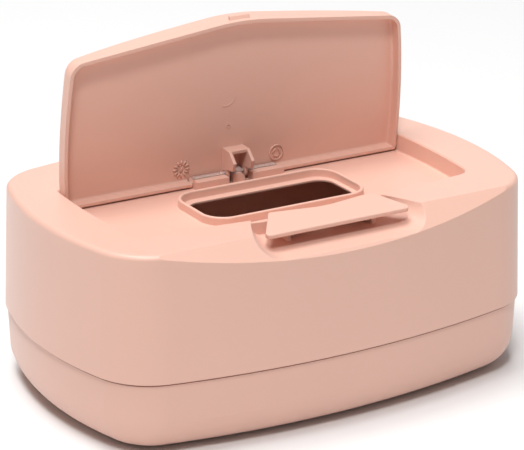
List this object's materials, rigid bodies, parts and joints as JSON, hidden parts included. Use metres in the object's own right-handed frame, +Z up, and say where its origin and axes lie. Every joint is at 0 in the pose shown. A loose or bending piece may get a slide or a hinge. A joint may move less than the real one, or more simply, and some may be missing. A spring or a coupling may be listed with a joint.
{
  "type": "baby wipes box",
  "caption": "Rounded dispenser box for moist wipes: tub, lift-off cover with a recessed flap lid, raised collar round the dispensing opening and a rocking release button",
  "frame": {"origin": "centre of the box on the surface that it stands on", "axes": "+X along the box to the right, +Y to the hinge side at the back, +Z up; the button is at the front, -Y"},
  "size_m": [0.24, 0.16, 0.1696],
  "materials": {
    "tub_plastic": "satin blush pink polypropylene",
    "cover_plastic": "satin blush pink polypropylene",
    "lid_plastic": "satin blush pink polypropylene, with faint mould marks inside",
    "button_plastic": "satin blush pink polypropylene",
    "clear_plastic": "clear moulded plastic",
    "pin_plastic": "plain moulded rod",
    "pad_rubber": "soft translucent grey"
  },
  "bodies": {
    "tub": {"base_tub": "tub_plastic", "foot_pads": "pad_rubber"},
    "cover": {"cover": "cover_plastic", "spring_strip": "clear_plastic", "button_pin": "pin_plastic"},
    "lid": {"lid": "lid_plastic"},
    "button": {"release_button": "button_plastic"}
  },
  "joints": [
    {"name": "cover_lift", "type": "slide", "parent": "tub", "child": "cover", "axis": [0, 0, 1], "range_m": [0, 0.06]},
    {"name": "lid_hinge", "type": "hinge", "parent": "cover", "child": "lid", "pos_m": [0, 0.0276, 0.091], "axis": [1, 0, 0], "range_deg": [0, 86], "stiffness_Nm_per_rad": 0.012, "springref_deg": -40.11},
    {"name": "button_rock", "type": "hinge", "parent": "cover", "child": "button", "pos_m": [0, -0.057, 0.091], "axis": [1, 0, 0], "range_deg": [-13, 0], "stiffness_Nm_per_rad": 0.02, "springref_deg": 5.73}
  ]
}
